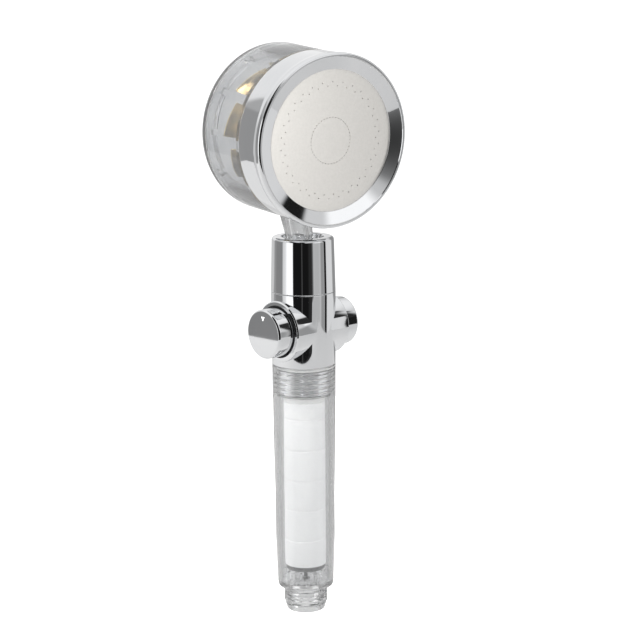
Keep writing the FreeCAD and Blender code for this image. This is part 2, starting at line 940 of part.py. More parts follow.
def make_impeller():
    """The turbine: a hub with pitched blades, a curved leaf at each tip, and a bush at each end."""
    rear = -size("impeller_rear")
    front = size("impeller_front")
    body = turned("impeller", [
        (0, rear), (size("impeller_hub"), rear), (size("impeller_hub"), front), (0, front),
    ])
    sketch = new_sketch(body, "YZ_Plane", "impeller_blade")
    middle = (SIZES["impeller_front"] - SIZES["impeller_rear"]) / 2
    pitch = FreeCAD.Rotation(FreeCAD.Vector(0, 0, 1), SIZES["blade_pitch"])
    sketch.AttachmentOffset = FreeCAD.Placement(FreeCAD.Vector(0, middle, 0), pitch)
    chord = size("blade_chord") * 0.5
    thick = size("blade_thick") * 0.5
    draw_outline(sketch, [(-chord, -thick), (chord, -thick), (chord, thick), (-chord, thick)])
    blade = body.newObject("PartDesign::Pad", "impeller_pad")
    blade.Profile = sketch
    blade.setExpression("Length", "sizes.impeller_radius")
    body.Tip = blade
    document.recompute()
    leaf = turn_on(
        body,
        ring_corners(
            size("leaf_inner"), size("impeller_radius"), -size("leaf_rear"), size("leaf_front")
        ),
    )
    leaf.Midplane = True
    leaf.setExpression("Angle", "sizes.leaf_span")
    document.recompute()
    repeat_round(body, [blade, leaf], "blade_count")
    beyond = size("impeller_radius") + size("blade_chord")
    turn_off(body, ring_corners(size("impeller_radius"), beyond, rear, front))
    turn_off(body, [(0, rear), (size("bush_radius"), rear), (size("bush_radius"), front), (0, front)])
    keep(in_head(body, SIZES["impeller_rest"]), "impeller")

    bushes = []
    for start in (rear, front - size("bush_length")):
        ring = turned("bush", ring_corners(
            size("bush_bore"), size("bush_radius"), start, start + size("bush_length")
        ))
        bushes.append(in_head(ring))
    group = document.addObject("Part::Compound", "impeller_bushes")
    group.Links = bushes
    keep(group, "impeller_bushes")


def make_jet_ring():
    """The ring of slots that turns the water into the blades."""
    rear = -size("jet_ring_rear")
    front = -size("jet_ring_front")
    body = turned(
        "jet_ring", ring_corners(size("jet_ring_inner"), size("jet_ring_outer"), rear, front)
    )
    sketch = new_sketch(body, "YZ_Plane", "jet_ring_slot")
    half = size("jet_slot_width") * 0.5
    draw_outline(
        sketch,
        [(-half, front - size("jet_slot_depth")), (half, front - size("jet_slot_depth")),
         (half, front), (-half, front)],
    )
    slot = body.newObject("PartDesign::Pocket", "jet_ring_pocket")
    slot.Profile = sketch
    slot.Type = "ThroughAll"
    slot.Reversed = True
    before = body.Shape.Volume
    body.Tip = slot
    document.recompute()
    if body.Shape.Volume >= before:
        raise RuntimeError("the jet ring's slot cuts nothing")
    repeat_round(body, [slot], "jet_slot_count")
    keep(in_head(body), "jet_ring")


# ---- build -----------------------------------------------------------------------------------


def check_and_write():
    document.recompute()
    for thing in document.Objects:
        if "Invalid" in thing.State or "Error" in thing.State:
            raise RuntimeError(f"{thing.Name} ({thing.Label}) failed: {thing.State}")
    os.makedirs("parts", exist_ok=True)
    for node in nodes:
        shape = node.Shape
        if shape.isNull() or not shape.isValid() or not shape.Solids:
            raise RuntimeError(f"{node.Label} has no valid solid")
    for node in nodes:
        node.Shape.exportStep(f"parts/{node.Label}.step")
        print(f"{node.Label:18s} {len(node.Shape.Solids):3d} solids {node.Shape.Volume:12.1f} mm3")


fill_sheet()
make_handle()
make_filter_holder()
make_filter()
make_valve_body()
make_button("left_button", -1)
make_button("right_button", 1)
make_gland("left_gland", -1)
make_gland("right_gland", 1)
make_spool()
make_swivel_nut()
make_seats()
make_neck()
make_rear_shell()
make_bezel()
make_spray_plate()
make_jet_disc()
make_axle()
make_impeller()
make_jet_ring()
check_and_write()
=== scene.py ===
"""Handheld shower head: the looks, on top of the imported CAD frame. Metres, part upright on +Z."""

import math

import bmesh
import bpy
from mathutils import Matrix, Vector


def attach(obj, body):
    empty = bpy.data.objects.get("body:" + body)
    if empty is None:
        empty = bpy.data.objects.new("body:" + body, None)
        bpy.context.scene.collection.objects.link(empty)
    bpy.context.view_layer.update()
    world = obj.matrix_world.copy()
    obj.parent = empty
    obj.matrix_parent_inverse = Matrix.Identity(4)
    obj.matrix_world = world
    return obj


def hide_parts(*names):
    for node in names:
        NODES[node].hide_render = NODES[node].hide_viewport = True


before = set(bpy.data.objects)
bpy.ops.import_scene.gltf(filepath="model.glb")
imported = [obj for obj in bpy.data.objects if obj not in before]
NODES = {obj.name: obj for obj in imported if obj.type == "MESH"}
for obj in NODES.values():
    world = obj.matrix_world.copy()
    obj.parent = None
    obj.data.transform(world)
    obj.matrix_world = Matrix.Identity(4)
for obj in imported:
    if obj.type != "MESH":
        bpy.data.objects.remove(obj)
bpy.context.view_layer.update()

MM = 0.001
STEPS = 192
# Outline points closer than this, in millimetres, count as the same.
MATCH = 0.001
# An outline point closer to the axis than this, in millimetres, is on it.
ON_AXIS = 1e-7
# Edges that turn by more than this many degrees stay sharp.
SHARP = 32.0
# About how many degrees of a rounded corner lie between two of its points.
ARC_STEP = 9
# The most of its shorter edge that a rounded corner takes up, unless the corner says otherwise.
ARC_SHARE = 0.49
# About how many steps an outline has in one pitch of a thread.
THREAD_STEPS = 12

# Frames of the object's parts. The head's local Z is the spray direction and its local Y is up.
HEAD_HEIGHT = 231.1
HEAD_TURN = math.radians(-9.08)
HEAD_TIP = math.radians(94.10)
PIVOT_HEIGHT = 173.5
NECK_LEAN = math.radians(-17.0)
VALVE_HEIGHT = 139.6

UPRIGHT = Matrix.Identity(4)
IN_HEAD = (
    Matrix.Translation((0, 0, HEAD_HEIGHT * MM))
    @ Matrix.Rotation(HEAD_TURN, 4, "Z")
    @ Matrix.Rotation(HEAD_TIP, 4, "X")
)
IN_NECK = (
    Matrix.Translation((0, 0, PIVOT_HEIGHT * MM))
    @ Matrix.Rotation(HEAD_TURN, 4, "Z")
    @ Matrix.Rotation(NECK_LEAN, 4, "X")
)
LEFT_END = Matrix.Translation((0, 0, VALVE_HEIGHT * MM)) @ Matrix.Rotation(-math.pi / 2, 4, "Y")
RIGHT_END = Matrix.Translation((0, 0, VALVE_HEIGHT * MM)) @ Matrix.Rotation(math.pi / 2, 4, "Y")


# ---- meshes ----------------------------------------------------------------------------------


def add_object(name, mesh, sharp=SHARP):
    mesh.polygons.foreach_set("use_smooth", [True] * len(mesh.polygons))
    mesh.set_sharp_from_angle(angle=math.radians(sharp))
    thing = bpy.data.objects.new(name, mesh)
    bpy.context.scene.collection.objects.link(thing)
    return thing


def mesh_from(bm, name):
    bmesh.ops.recalc_face_normals(bm, faces=bm.faces)
    mesh = bpy.data.meshes.new(name)
    bm.to_mesh(mesh)
    bm.free()
    return mesh


def rounded(corners, closed):
    """An outline's points, with an arc in each corner that gives a third number, its radius.

    A fourth number is the most of its shorter edge that the arc may use.
    """
    points = []
    count = len(corners)
    for index, corner in enumerate(corners):
        here = Vector(corner[:2])
        radius = corner[2] if len(corner) > 2 else 0
        if not radius or (not closed and index in (0, count - 1)):
            points.append(here)
            continue
        back = Vector(corners[index - 1][:2]) - here
        ahead = Vector(corners[(index + 1) % count][:2]) - here
        angle = back.angle(ahead)
        share = corner[3] if len(corner) > 3 else ARC_SHARE
        reach = min(radius / math.tan(angle / 2), share * min(back.length, ahead.length))
        radius = reach * math.tan(angle / 2)
        middle = here + (back.normalized() + ahead.normalized()).normalized() * (
            radius / math.sin(angle / 2)
        )
        start = here + back.normalized() * reach - middle
        end = here + ahead.normalized() * reach - middle
        sweep = math.pi - angle
        side = 1 if start.x * end.y - start.y * end.x > 0 else -1
        pieces = max(3, round(math.degrees(sweep) / ARC_STEP))
        for piece in range(pieces + 1):
            turn = side * sweep * piece / pieces
            points.append(middle + Matrix.Rotation(turn, 2) @ start)
    return points


def lathe(name, corners, place=UPRIGHT, threads=(), steps=STEPS, sharp=SHARP):
    """Turn an outline of (radius, height, corner radius) round the local Z axis.

    An outline that starts and ends on the axis makes a solid; any other one is closed on itself.
    """
    solid = corners[0][0] == 0 and corners[-1][0] == 0
    points = rounded(corners, not solid)
    for thread in threads:
        points = thread["fill"](points)
    bm = bmesh.new()
    rings = []
    for point in points:
        if point.x < ON_AXIS:
            rings.append([bm.verts.new(place @ Vector((0, 0, point.y * MM)))])
            continue
        ring = []
        for step in range(steps):
            angle = math.tau * step / steps
            radius = point.x
            for thread in threads:
                radius = thread["radius"](radius, point.y, angle)
            spot = Vector((radius * math.cos(angle), radius * math.sin(angle), point.y)) * MM
            ring.append(bm.verts.new(place @ spot))
        rings.append(ring)
    last = len(rings) - 1 if solid else len(rings)
    for index in range(last):
        low = rings[index]
        high = rings[(index + 1) % len(rings)]
        for step in range(steps):
            after = (step + 1) % steps
            if len(low) == 1:
                bm.faces.new((low[0], high[step], high[after]))
            elif len(high) == 1:
                bm.faces.new((low[step], low[after], high[0]))
            else:
                bm.faces.new((low[step], low[after], high[after], high[step]))
    return add_object(name, mesh_from(bm, name), sharp)


def screw(low, high, pitch, root, crest, flat, fade, limit):
    """A helical thread on the outer wall of a lathe outline, between two heights."""

    def on_wall(point):
        return limit[0] < point.x < limit[1] and low - MATCH <= point.y <= high + MATCH

    def fill(points):
        filled = []
        for index, point in enumerate(points):
            filled.append(point)
            ahead = points[(index + 1) % len(points)]
            if not (on_wall(point) and on_wall(ahead)):
                continue
            pieces = max(1, round(abs(ahead.y - point.y) / pitch * THREAD_STEPS))
            for piece in range(1, pieces):
                filled.append(point.lerp(ahead, piece / pieces))
        return filled

    def radius(across, up, angle):
        if not on_wall(Vector((across, up))):
            return across
        phase = ((up - low) / pitch - angle / math.tau) % 1
        distance = abs(phase - 0.5) * 2
        rise = min(1, max(0, (1 - distance - (1 - 2 * flat) / 2 + 0.25) / 0.5))
        rise = rise * rise * (3 - 2 * rise)
        if fade:
            rise *= max(0, min(1, (up - low) / fade, (high - up) / fade))
        return root + (crest - root) * rise

    return {"fill": fill, "radius": radius}


def worked(thing, kind, **settings):
    """Apply one modifier to an object."""
    modifier = thing.modifiers.new(kind.lower(), kind)
    for key, value in settings.items():
        setattr(modifier, key, value)
    graph = bpy.context.evaluated_depsgraph_get()
    mesh = bpy.data.meshes.new_from_object(thing.evaluated_get(graph))
    thing.modifiers.clear()
    old = thing.data
    thing.data = mesh
    bpy.data.meshes.remove(old)
    return thing


def combined(thing, other, operation):
    bpy.context.view_layer.update()
    worked(thing, "BOOLEAN", object=other, operation=operation, solver="MANIFOLD")
    bpy.data.objects.remove(other)
    thing.data.polygons.foreach_set("use_smooth", [True] * len(thing.data.polygons))
    thing.data.set_sharp_from_angle(angle=math.radians(SHARP))
    return thing


# ---- materials -------------------------------------------------------------------------------


class Shader:
    """A small helper that writes a node material."""

    def __init__(self, name):
        self.material = bpy.data.materials.new(name)
        self.material.use_nodes = True
        self.tree = self.material.node_tree
        self.shader = self.tree.nodes["Principled BSDF"]
        self.place = self.tree.nodes.new("ShaderNodeTexCoord").outputs["Object"]

    def set(self, **values):
        for key, value in values.items():
            self.shader.inputs[key.replace("_", " ")].default_value = value
        return self

    def noise(self, scale, detail=4.0, stretch=(1, 1, 1), roughness=0.55):
        spread = self.tree.nodes.new("ShaderNodeMapping")
        spread.inputs["Scale"].default_value = stretch
        self.tree.links.new(self.place, spread.inputs["Vector"])
        texture = self.tree.nodes.new("ShaderNodeTexNoise")
        texture.inputs["Scale"].default_value = scale
        texture.inputs["Detail"].default_value = detail
        texture.inputs["Roughness"].default_value = roughness
        self.tree.links.new(spread.outputs["Vector"], texture.inputs["Vector"])
        return texture.outputs["Fac"]

    def spread(self, value, low, high, start=0.3, end=0.7):
        ramp = self.tree.nodes.new("ShaderNodeMapRange")
        ramp.inputs["From Min"].default_value = start
        ramp.inputs["From Max"].default_value = end
        ramp.inputs["To Min"].default_value = low
        ramp.inputs["To Max"].default_value = high
        self.tree.links.new(value, ramp.inputs["Value"])
        return ramp.outputs["Result"]

    def blend(self, value, first, second, start=0.3, end=0.7):
        ramp = self.tree.nodes.new("ShaderNodeValToRGB")
        ramp.color_ramp.elements[0].position = start
        ramp.color_ramp.elements[0].color = (*first, 1)
        ramp.color_ramp.elements[1].position = end
        ramp.color_ramp.elements[1].color = (*second, 1)
        self.tree.links.new(value, ramp.inputs["Fac"])
        return ramp.outputs["Color"]

    def link(self, value, socket):
        self.tree.links.new(value, self.shader.inputs[socket])
        return self

    def bump(self, value, depth, strength=1.0):
        node = self.tree.nodes.new("ShaderNodeBump")
        node.inputs["Strength"].default_value = strength
        node.inputs["Distance"].default_value = depth
        self.tree.links.new(value, node.inputs["Height"])
        self.tree.links.new(node.outputs["Normal"], self.shader.inputs["Normal"])
        return self


def make_materials():
    made = {}

    chrome = Shader("polished_chrome").set(Metallic=1.0)
    wipes = chrome.noise(90, stretch=(1, 1, 0.3))
    chrome.link(chrome.blend(wipes, (0.70, 0.71, 0.725), (0.735, 0.74, 0.75)), "Base Color")
    chrome.link(chrome.spread(wipes, 0.025, 0.055), "Roughness")
    chrome.bump(chrome.noise(60, 2), 0.00001, 0.6)
    made["chrome"] = chrome.material

    clear = Shader("clear_plastic").set(Transmission_Weight=0.95, IOR=1.52)
    clear.set(Base_Color=(0.965, 0.97, 0.975, 1))
    clear.link(clear.spread(clear.noise(120), 0.0, 0.03), "Roughness")
    clear.bump(clear.noise(35, 2), 0.00003, 0.5)
    made["clear"] = clear.material

    haze = Shader("moulded_clear").set(Transmission_Weight=0.95, IOR=1.42)
    flow_marks = haze.noise(70, 3)
    haze.link(haze.blend(flow_marks, (0.80, 0.81, 0.83), (0.88, 0.89, 0.90)), "Base Color")
    haze.link(haze.spread(flow_marks, 0.0, 0.05), "Roughness")
    haze.bump(haze.noise(40, 2), 0.00004, 0.5)
    made["haze"] = haze.material

    plate = Shader("satin_steel").set(Metallic=0.8)
    grain = plate.noise(900, 6)
    plate.link(plate.blend(grain, (0.66, 0.646, 0.622), (0.71, 0.694, 0.67)), "Base Color")
    plate.link(plate.spread(grain, 0.36, 0.46), "Roughness")
    plate.bump(grain, 0.000004)
    made["steel"] = plate.material

    gold = Shader("gold_plastic").set(Metallic=1.0)
    cast = gold.noise(95, 4)
    gold.link(gold.blend(cast, (0.06, 0.042, 0.018), (0.46, 0.33, 0.13), 0.40, 0.64), "Base Color")
    gold.link(gold.spread(cast, 0.14, 0.30), "Roughness")
    gold.bump(gold.noise(120, 2), 0.0004, 0.6)
    made["gold"] = gold.material

    # A lighter gold for the rims and rear edges of the impeller's leaves and vanes: it paints the
    # highlight those edges catch.
    rim = Shader("gold_painted_highlight").set(Metallic=1.0)
    highlight_noise = rim.noise(200, 3)
    rim.link(rim.blend(highlight_noise, (0.92, 0.72, 0.36), (1.0, 0.86, 0.55)), "Base Color")
    rim.link(rim.spread(highlight_noise, 0.18, 0.30), "Roughness")
    made["rim"] = rim.material

    bronze = Shader("bearing_bronze").set(Metallic=1.0)
    sinter = bronze.noise(1400, 4)
    bronze.link(bronze.blend(sinter, (0.52, 0.37, 0.20), (0.66, 0.48, 0.27)), "Base Color")
    bronze.link(bronze.spread(sinter, 0.32, 0.5), "Roughness")
    bronze.bump(sinter, 0.00002)
    made["bronze"] = bronze.material

    cotton = Shader("filter_wool").set(Sheen_Weight=0.25, Sheen_Roughness=0.6)
    fibre = cotton.noise(420, 8, stretch=(1, 1, 2.4), roughness=0.65)
    cotton.link(cotton.blend(fibre, (0.86, 0.865, 0.87), (0.95, 0.95, 0.95)), "Base Color")
    cotton.link(cotton.spread(fibre, 0.85, 1.0), "Roughness")
    cotton.bump(fibre, 0.0003, 0.6)
    made["cotton"] = cotton.material

    white = Shader("white_plastic")
    skin = white.noise(600, 4)
    white.link(white.blend(skin, (0.84, 0.84, 0.83), (0.88, 0.88, 0.87)), "Base Color")
    white.link(white.spread(skin, 0.34, 0.46), "Roughness")
    white.bump(skin, 0.00002)
    made["white"] = white.material

    rubber = Shader("grey_rubber")
    flow = rubber.noise(380, 5)
    rubber.link(rubber.blend(flow, (0.075, 0.077, 0.08), (0.115, 0.118, 0.12)), "Base Color")
    rubber.link(rubber.spread(flow, 0.48, 0.66), "Roughness")
    rubber.bump(flow, 0.00005)
    made["rubber"] = rubber.material

    # Near black and barely glossy: painted shade for the gap round each button.
    seal = Shader("black_seal").set(Specular_IOR_Level=0.15)
    gap_shade_noise = seal.noise(500, 4)
    seal.link(seal.blend(gap_shade_noise, (0.008, 0.008, 0.009), (0.018, 0.018, 0.019)), "Base Color")
    seal.link(seal.spread(gap_shade_noise, 0.5, 0.7), "Roughness")
    seal.bump(gap_shade_noise, 0.00003)
    made["seal"] = seal.material

    paint = Shader("pale_inlay")
    spots = paint.noise(900, 4)
    paint.link(paint.blend(spots, (0.80, 0.81, 0.82), (0.88, 0.89, 0.90)), "Base Color")
    paint.link(paint.spread(spots, 0.35, 0.5), "Roughness")
    made["paint"] = paint.material
    return made


MATERIALS = make_materials()


def dress(thing, material):
    # Clearing resets which face has which material, so it is only for a boolean's empty slots.
    if thing.data.materials:
        thing.data.materials.clear()
    thing.data.materials.append(MATERIALS[material])
    return thing


def finish_piece(thing, body, material, slot, *nodes):
    dress(thing, material)
    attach(thing, body)
    if nodes:
        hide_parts(*nodes)
    return thing


# ---- handle and filter -----------------------------------------------------------------------


def make_handle():
    outer = [
        (9.3, 0, 0.4),
        (9.98, 2.8),
        (9.5, 3.0),
        (9.5, 9.6, 0.3),
        (13.3, 12.3, 0.5),
        (13.6, 14.2, 2.0),
        (14.3, 36, 60),
        (14.3, 58, 60),
        (14.7, 78, 60),
        (15.05, 122.3, 0.35),
    ]
    inner = [
        (13.0, 122.3, 0.25),
        (13.0, 119.2),
        (13.0, 108.0),
        (13.0, 107.6),
        (11.6, 107.6, 0.3),
        (11.6, 14.6, 0.4),
        (6.5, 12.0, 0.4),
        (6.5, 0, 0.25),
    ]
    hose_thread = screw(3.0, 9.6, 1.814, 9.45, 10.4775, 0.3, 0.9, (9.44, 9.56))
    socket_thread = screw(108.0, 119.2, 2.3, 12.25, 13.0, 0.3, 0.0, (12.99, 13.01))
    handle = lathe("handle_tube", outer + inner, threads=(hose_thread, socket_thread))
    finish_piece(handle, "base", "clear", "clear_plastic", "handle")


def make_filter():
    seams = [96.4, 81.3, 66.3, 51.5, 36.3]
    outline = [(4.02, 23.12), (9.9, 23.12, 0.5)]
    for seam in reversed(seams):
        outline += [(10.0, seam - 0.7, 0.3), (9.72, seam, 0.25), (10.0, seam + 0.7, 0.3)]
    outline += [(9.9, 104.58, 0.5), (4.02, 104.58)]
    cotton = lathe("filter_cartridge", outline)
    finish_piece(cotton, "base", "cotton", "filter_wool", "filter_cotton")

    plug = lathe("filter_gasket", [
        (0, 13.5), (1.95, 13.5, 0.3), (1.95, 14.38, 0.2), (0.92, 14.38, 0.15),
        (0.92, 20.8, 0.3), (9.3, 20.8, 0.45), (9.3, 23.08, 0.45), (0, 23.08),
    ], steps=96)
    finish_piece(plug, "base", "rubber", "grey_rubber", "filter_plug")

    cap = lathe("cartridge_cap", [
        (3.0, 104.62, 0.2), (9.98, 104.62, 0.4), (9.98, 107.58, 0.4), (9.3, 107.58, 0.3),
        (9.3, 112.0, 0.5), (3.0, 112.0, 0.3),
    ])
    finish_piece(cap, "base", "white", "white_plastic", "filter_top_cap")


# ---- valve and nut ---------------------------------------------------------------------------


def make_valve():
    outline = [
        (9.5, 107.9, 0.25),
        (12.2, 107.9, 0.35),
        (12.2, 108.4),
        (12.2, 119.0),
        (12.9, 119.3, 0.1),
        (12.9, 119.9, 0.1),
        (11.55, 119.9),
        (11.55, 122.32),
        (15.05, 122.32, 0.3),
        (15.3, 157.1, 0.3),
        (12.0, 157.1),
        (12.0, 165.0, 0.3),
        (5.5, 165.0, 0.3),
        (5.5, 150.0),
        (3.0, 148.5),
        (3.0, 121.0),
        (9.5, 119.5),
    ]
    thread = screw(108.0, 119.2, 2.3, 12.1, 12.87, 0.28, 0.5, (12.19, 12.21))
    body = lathe("valve_tee", outline, threads=(thread,))
    cross = lathe("cross_tube", [
        (0, -16.5), (13.85, -16.5, 0.25), (14.45, -15.9, 0.35), (14.45, 15.9, 0.35),
        (13.85, 16.5, 0.25), (0, 16.5),
    ], RIGHT_END)
    combined(body, cross, "UNION")
    passage = lathe("passage", [(0, -20), (6.5, -20), (6.5, 20), (0, 20)], RIGHT_END, steps=96)
    combined(body, passage, "DIFFERENCE")
    for name, place in (("left_recess", LEFT_END), ("right_recess", RIGHT_END)):
        recess = lathe(name, [
            (9.0, 7.5, 0.4), (12.3, 7.5, 0.4), (12.3, 16.2, 0.2), (12.6, 16.9), (12.6, 20),
            (5.0, 20), (5.0, 15.5), (8.8, 15.5, 0.2), (9.0, 15.3, 0.1),
        ], place)
        combined(body, recess, "DIFFERENCE")
    finish_piece(body, "base", "chrome", "chrome", "valve_body")


def make_button(name, place, node):
    button = lathe(name, [
        (0, 25.3), (10.8, 25.27, 0.5), (11.6, 24.5, 0.9), (11.6, 11.9, 0.25), (9.4, 11.9, 0.25),
        (9.4, 22.8, 0.4), (0, 22.8),
    ], place)
    finish_piece(button, "spool", "chrome", "chrome", node)


def make_gap_shade_ring(name, place):
    """A near-black ring that fills the gap between a button and its recess: painted shade in that
    gap.
    """
    gap_shade_ring = lathe(name, [
        (11.72, 13.6, 0.1), (12.34, 13.6, 0.1), (12.42, 16.35, 0.1), (11.72, 16.35, 0.15),
    ], place)
    finish_piece(gap_shade_ring, "base", "seal", "grey_rubber")


def make_pointer():
    """A small triangle, flush with the left button's face, that marks the open side."""
    bm = bmesh.new()
    corners = [(-1.1, 8.3), (1.1, 8.3), (0, 6.2)]
    low = []
    high = []
    for across, up in corners:
        for height, group in ((25.1, low), (25.36, high)):
            spot = LEFT_END @ (Vector((up, across, height)) * MM)
            group.append(bm.verts.new(spot))
    bm.faces.new(low)
    bm.faces.new(high)
    for index in range(3):
        after = (index + 1) % 3
        bm.faces.new((low[index], low[after], high[after], high[index]))
    mark = add_object("pointer_mark", mesh_from(bm, "pointer_mark"))
    worked(mark, "BEVEL", width=0.06 * MM, segments=2)
    finish_piece(mark, "spool", "paint", "white_plastic")


BALL_RADIUS = 9.0
BALL_BORE = 3.5
# Degrees from the foot of the ball to the rim of the neck's socket.
BALL_RIM = 135.6
BALL_STEPS = 40


def make_nut():
    nut = lathe("swivel_collar", [
        (12.1, 157.2, 0.2), (15.3, 157.2, 0.3), (14.6, 183.1, 1.7), (10.1, 183.1, 0.45),
        (8.6, 177.6, 0.3), (12.1, 177.6),
    ])
    finish_piece(nut, "base", "chrome", "chrome", "swivel_nut")

    # The arc runs from the edge of the bore round to the rim of the neck's socket.
    lean = math.degrees(math.asin(BALL_BORE / BALL_RADIUS))
    arc = []
    for step in range(BALL_STEPS + 1):
        angle = math.radians(lean + (BALL_RIM - lean) * step / BALL_STEPS)
        arc.append((BALL_RADIUS * math.sin(angle), -BALL_RADIUS * math.cos(angle)))
    ball = lathe("ball", arc + [(6.3, 0.2), (BALL_BORE, 0.2)], IN_NECK)
    finish_piece(ball, "head", "chrome", "chrome", "neck_ball")


# ---- head ------------------------------------------------------------------------------------


def make_bezel():
    bezel = lathe("bezel_ring", [
        (36.8, 8.55, 0.2),
        (39.3, 8.55, 0.5),
        (39.6, 22.0, 20),
        (39.95, 24.2, 0.8),
        (39.97, 27.0, 2.0, 0.8),
        (38.25, 27.0, 0.3, 0.15),
        (38.05, 26.6, 0.1),
        (32.3, 24.9, 0.25),
        (32.3, 24.12),
        (34.5, 24.12),
        (34.5, 20.0),
        (36.8, 20.0),
    ], IN_HEAD, steps=256)
    finish_piece(bezel, "head", "chrome", "chrome", "bezel")


PLATE_RADIUS = 34.25
PLATE_DEPTH = 23.8
HOLE_RADIUS = 0.32
HOLE_POINTS = 12
# Each ring of spray holes: its radius, how many holes, and its turn in parts of a step.
HOLE_RINGS = ((10.6, 42, 0), (24.8, 30, 0), (26.6, 30, 0.5))


def make_spray_plate():
    """One sheet with every spray hole cut through it."""
    curve = bpy.data.curves.new("spray_face", "CURVE")
    curve.dimensions = "2D"
    curve.fill_mode = "BOTH"
    curve.extrude = 0.26 * MM
    curve.bevel_depth = 0.04 * MM
    curve.bevel_resolution = 1
    curve.resolution_u = 12

    def ring(across, up, radius, points):
        spline = curve.splines.new("POLY")
        spline.points.add(points - 1)
        for step, point in enumerate(spline.points):
            angle = math.tau * step / points
            spot = (across + radius * math.cos(angle), up + radius * math.sin(angle))
            point.co = (spot[0] * MM, spot[1] * MM, 0, 1)
        spline.use_cyclic_u = True

    ring(0, 0, PLATE_RADIUS, STEPS)
    for radius, count, start in HOLE_RINGS:
        for hole in range(count):
            angle = math.tau * (hole + start) / count
            ring(radius * math.cos(angle), radius * math.sin(angle), HOLE_RADIUS, HOLE_POINTS)
    source = bpy.data.objects.new("spray_face", curve)
    bpy.context.scene.collection.objects.link(source)
    graph = bpy.context.evaluated_depsgraph_get()
    mesh = bpy.data.meshes.new_from_object(source.evaluated_get(graph))
    bpy.data.objects.remove(source)
    mesh.transform(IN_HEAD @ Matrix.Translation((0, 0, PLATE_DEPTH * MM)))
    plate = add_object("spray_face", mesh, 20)
    finish_piece(plate, "head", "steel", "spray_steel", "spray_plate")


def make_shell():
    shell = lathe("clear_can", [
        (0, -25.98), (39.75, -25.98, 4.0), (39.2, 8.5, 0.2), (36.6, 8.5), (36.6, 17.0, 0.2),
        (34.9, 17.0, 0.2), (34.9, 7.0), (37.2, 4.7), (37.2, -23, 2.2), (4.0, -23, 1.0),
        (4.0, -14.4, 0.3), (1.5, -14.4, 0.2), (1.5, -22.0), (0, -22.0),
    ], IN_HEAD, steps=256)
    neck_hole = lathe("neck_hole", [(0, 9), (6.3, 9), (7.9, 26), (0, 26)], IN_NECK, steps=96)
    combined(shell, neck_hole, "DIFFERENCE")
    finish_piece(shell, "head", "haze", "clear_plastic", "rear_shell")


BLADES = 10
LEAF_SPAN = math.radians(27.0)
LEAF_START = math.radians(119.0)
LEAF_RADIUS = 33.4
LEAF_FRONT = 5.0
# The depth of the leaf's rear edge where it starts, and how much that changes along the leaf.
LEAF_REAR = -7.0
LEAF_SLANT = -5.5
# How far the leaf is scooped towards the axis.
LEAF_SCOOP = 2.0
# The radii that a vane runs between.
VANE_ROOT = 5.2
VANE_TIP = 32.0
BLADE_THICK = 1.1


def make_impeller():
    """A hub, ten scooped vanes and the curved leaf at the tip of each."""
    hub = lathe("turbine_wheel", [
        (2.52, -13.5, 0.2), (5.5, -13.5, 0.5), (5.5, 5.5, 0.5), (2.52, 5.5, 0.2),
    ], IN_HEAD, steps=96)
    bm = bmesh.new()
    bm.from_mesh(hub.data)

    def sheet(spots, thick, painted_highlight=False):
        """A closed sheet from a grid of points, thick along its normals, with a painted highlight
        in lighter gold on its edges.
        """
        rows = len(spots)
        columns = len(spots[0])
        front = []
        back = []
        for row in range(rows):
            front.append([])
            back.append([])
            for column in range(columns):
                ahead = spots[min(row + 1, rows - 1)][column] - spots[max(row - 1, 0)][column]
                across = (
                    spots[row][min(column + 1, columns - 1)] - spots[row][max(column - 1, 0)]
                )
                normal = ahead.cross(across).normalized() * (thick / 2)
                front[row].append(bm.verts.new(IN_HEAD @ ((spots[row][column] + normal) * MM)))
                back[row].append(bm.verts.new(IN_HEAD @ ((spots[row][column] - normal) * MM)))
        for row in range(rows - 1):
            for column in range(columns - 1):
                for side in (front, back):
                    face = bm.faces.new((
                        side[row][column], side[row + 1][column],
                        side[row + 1][column + 1], side[row][column + 1],
                    ))
                    # With the flag set, the first column of faces also takes the lighter gold: a
                    # painted highlight along the leaf's rear edge.
                    face.material_index = int(painted_highlight and column == 0)
        rims = []
        for row in range(rows - 1):
            for column in (0, columns - 1):
                rims.append(bm.faces.new((
                    front[row][column], front[row + 1][column],
                    back[row + 1][column], back[row][column],
                )))
        for column in range(columns - 1):
            for row in (0, rows - 1):
                rims.append(bm.faces.new((
                    front[row][column], front[row][column + 1],
                    back[row][column + 1], back[row][column],
                )))
        # Every rim face takes the lighter gold, a painted highlight.
        for face in rims:
            face.material_index = 1

    for blade in range(BLADES):
        start = LEAF_START + math.tau * blade / BLADES
        vane = []
        for row in range(15):
            share = row / 14
            radius = VANE_ROOT + (VANE_TIP - VANE_ROOT) * share
            vane.append([])
            for column in range(13):
                along = column / 12
                width = LEAF_SPAN * (0.62 + 0.38 * (1 - share))
                bow = 0.16 * math.sin(math.pi * share)
                angle = start + LEAF_SPAN / 2 + width * (along - 0.5) + bow
                depth = 4.2 - 14.5 * along - 1.6 * math.sin(math.pi * along) * share
                vane[row].append(
                    Vector((radius * math.cos(angle), radius * math.sin(angle), depth))
                )
        sheet(vane, BLADE_THICK)
        leaf = []
        for row in range(13):
            along = row / 12
            angle = start + LEAF_SPAN * along
            rear = LEAF_REAR + LEAF_SLANT * along
            leaf.append([])
            for column in range(9):
                share = (column / 8) ** 1.5
                depth = rear + (LEAF_FRONT - rear) * share
                scoop = LEAF_SCOOP * math.sin(math.pi * share) ** 2 * (0.4 + 0.6 * along)
                radius = LEAF_RADIUS - scoop
                leaf[row].append(
                    Vector((radius * math.cos(angle), radius * math.sin(angle), depth))
                )
        sheet(leaf, BLADE_THICK, painted_highlight=True)
    mesh = mesh_from(bm, "turbine_wheel")
    bpy.data.objects.remove(hub)
    wheel = add_object("turbine_wheel", mesh, 40)
    finish_piece(wheel, "impeller", "gold", "gold_plastic", "impeller")
    # The second slot holds the lighter gold that paints the edges' highlight.
    wheel.data.materials.append(MATERIALS["rim"])


